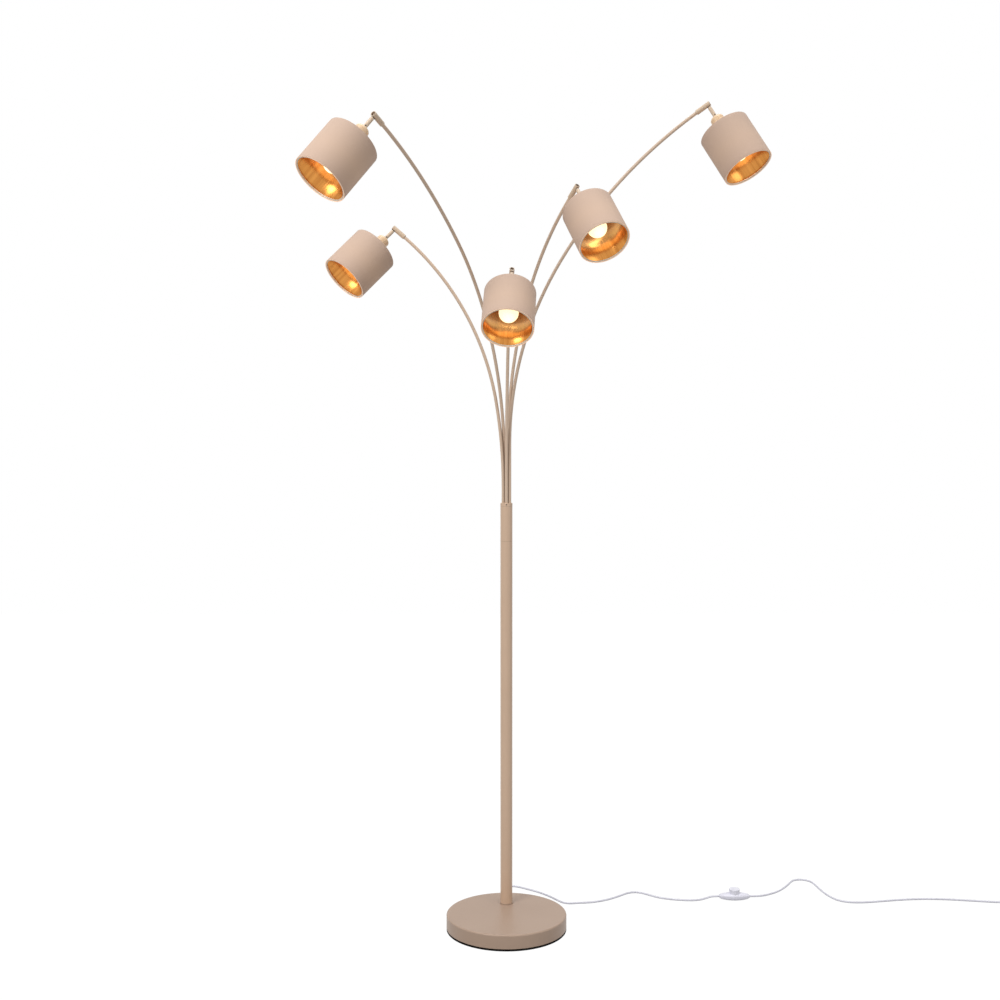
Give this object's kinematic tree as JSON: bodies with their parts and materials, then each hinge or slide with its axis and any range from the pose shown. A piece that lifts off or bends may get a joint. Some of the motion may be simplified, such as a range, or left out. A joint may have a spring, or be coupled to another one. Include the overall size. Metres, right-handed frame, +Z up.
{
  "type": "floor lamp",
  "caption": "Tree floor lamp: round weighted base, upright pole, bent arms that fan out, each with a swivelling drum shade, and a foot switch in its cord.",
  "frame": {"origin": "centre of the base's underside, on the floor", "axes": "+Z up along the pole, -Y to the front, +X to the right; the pole stands behind the origin on +Y"},
  "size_m": [1.9285, 0.9549, 1.9958],
  "materials": {
    "painted_base": "satin beige powder coat",
    "painted_pole": "satin beige powder coat",
    "painted_arm": "satin beige powder coat",
    "painted_barrel": "satin beige powder coat",
    "painted_holder": "satin beige powder coat",
    "pad_rubber": "matt black",
    "weight_iron": "rough black",
    "zinc_steel": "zinc plated",
    "dark_screw": "blackened",
    "block_plastic": "moulded",
    "lead_plastic": "soft sheath",
    "cord_white": "soft white sheath",
    "switch_white": "white moulding",
    "socket_plastic": "moulded",
    "carrier_wire": "light enamel",
    "shade_fabric": "fine weave, metallic gold foil inside",
    "bulb_glass": "opal, lit"
  },
  "bodies": {
    "stand": {"base_cover": "painted_base", "base_pad": "pad_rubber", "base_weight": "weight_iron", "cap_screws": "dark_screw", "cord_after_switch": "cord_white", "cord_coil": "cord_white", "cord_gland": "cord_white", "cord_to_switch": "cord_white", "foot_collar": "painted_pole", "foot_nut": "zinc_steel", "foot_stud": "zinc_steel", "head_tube": "painted_pole", "plug": "switch_white", "pole": "painted_pole", "pole_cap": "painted_pole", "supply_lead": "lead_plastic", "switch_lower": "switch_white", "switch_upper": "switch_white", "terminal_block": "block_plastic"},
    "button": {"switch_button": "switch_white"},
    "arm_1": {"arm_1": "painted_arm"},
    "barrel_1": {"barrel_1": "painted_barrel"},
    "head_1": {"stem_1": "painted_barrel", "holder_cover_1": "painted_holder", "lamp_socket_1": "socket_plastic", "shade_carrier_1": "carrier_wire", "shade_1": "shade_fabric", "bulb_1": "bulb_glass"},
    "arm_2": {"arm_2": "painted_arm"},
    "barrel_2": {"barrel_2": "painted_barrel"},
    "head_2": {"stem_2": "painted_barrel", "holder_cover_2": "painted_holder", "lamp_socket_2": "socket_plastic", "shade_carrier_2": "carrier_wire", "shade_2": "shade_fabric", "bulb_2": "bulb_glass"},
    "arm_3": {"arm_3": "painted_arm"},
    "barrel_3": {"barrel_3": "painted_barrel"},
    "head_3": {"stem_3": "painted_barrel", "holder_cover_3": "painted_holder", "lamp_socket_3": "socket_plastic", "shade_carrier_3": "carrier_wire", "shade_3": "shade_fabric", "bulb_3": "bulb_glass"},
    "arm_4": {"arm_4": "painted_arm"},
    "barrel_4": {"barrel_4": "painted_barrel"},
    "head_4": {"stem_4": "painted_barrel", "holder_cover_4": "painted_holder", "lamp_socket_4": "socket_plastic", "shade_carrier_4": "carrier_wire", "shade_4": "shade_fabric", "bulb_4": "bulb_glass"},
    "arm_5": {"arm_5": "painted_arm"},
    "barrel_5": {"barrel_5": "painted_barrel"},
    "head_5": {"stem_5": "painted_barrel", "holder_cover_5": "painted_holder", "lamp_socket_5": "socket_plastic", "shade_carrier_5": "carrier_wire", "shade_5": "shade_fabric", "bulb_5": "bulb_glass"}
  },
  "joints": [
    {"name": "swing_1", "type": "hinge", "parent": "stand", "child": "arm_1", "pos_m": [-0.00494, 0.0768, 1.0305], "axis": [0, 0, 1], "range_deg": [-3, 10]},
    {"name": "turn_1", "type": "hinge", "parent": "arm_1", "child": "barrel_1", "pos_m": [-0.27143, -0.47202, 1.86879], "axis": [-0.4061, -0.8364, 0.3681], "range_deg": [-45, 45]},
    {"name": "tilt_1", "type": "hinge", "parent": "barrel_1", "child": "head_1", "pos_m": [-0.27143, -0.47202, 1.86879], "axis": [-0.7919, 0.5232, 0.315], "range_deg": [-32.4, 3.6]},
    {"name": "swing_2", "type": "hinge", "parent": "stand", "child": "arm_2", "pos_m": [-0.00799, 0.0674, 1.0305], "axis": [0, 0, 1], "range_deg": [-4, 12]},
    {"name": "turn_2", "type": "hinge", "parent": "arm_2", "child": "barrel_2", "pos_m": [-0.27609, 0.07817, 1.7293], "axis": [-0.753, 0.0302, 0.6574], "range_deg": [-45, 45]},
    {"name": "tilt_2", "type": "hinge", "parent": "barrel_2", "child": "head_2", "pos_m": [-0.27609, 0.07817, 1.7293], "axis": [-0.224, 0.9275, -0.2993], "range_deg": [-18, 18]},
    {"name": "swing_3", "type": "hinge", "parent": "stand", "child": "arm_3", "pos_m": [0, 0.0616, 1.0305], "axis": [0, 0, 1], "range_deg": [-12, 2]},
    {"name": "turn_3", "type": "hinge", "parent": "arm_3", "child": "barrel_3", "pos_m": [0.01212, -0.12578, 1.59917], "axis": [0.049, -0.7577, 0.6508], "range_deg": [-45, 20]},
    {"name": "tilt_3", "type": "hinge", "parent": "barrel_3", "child": "head_3", "pos_m": [0.01212, -0.12578, 1.59917], "axis": [-0.9973, -0.0009, 0.0741], "range_deg": [-18, 18]},
    {"name": "swing_4", "type": "hinge", "parent": "stand", "child": "arm_4", "pos_m": [0.00494, 0.0768, 1.0305], "axis": [0, 0, 1], "range_deg": [-2, 8]},
    {"name": "turn_4", "type": "hinge", "parent": "arm_4", "child": "barrel_4", "pos_m": [0.16043, -0.1412, 1.78808], "axis": [0.4389, -0.6154, 0.6547], "range_deg": [-15, 45]},
    {"name": "tilt_4", "type": "hinge", "parent": "barrel_4", "child": "head_4", "pos_m": [0.16043, -0.1412, 1.78808], "axis": [-0.8473, -0.5259, 0.0738], "range_deg": [-18, 18]},
    {"name": "swing_5", "type": "hinge", "parent": "stand", "child": "arm_5", "pos_m": [0.00799, 0.0674, 1.0305], "axis": [0, 0, 1], "range_deg": [-12, 1]},
    {"name": "turn_5", "type": "hinge", "parent": "arm_5", "child": "barrel_5", "pos_m": [0.4689, -0.09944, 1.98756], "axis": [0.7948, -0.2877, 0.5344], "range_deg": [-45, 45]},
    {"name": "tilt_5", "type": "hinge", "parent": "barrel_5", "child": "head_5", "pos_m": [0.4689, -0.09944, 1.98756], "axis": [-0.4156, -0.8997, 0.1337], "range_deg": [-18, 18]},
    {"name": "button_press", "type": "slide", "parent": "stand", "child": "button", "axis": [0, 0, -1], "range_m": [0, 0.0025], "stiffness_N_per_m": 1200, "springref_m": -0.001}
  ]
}
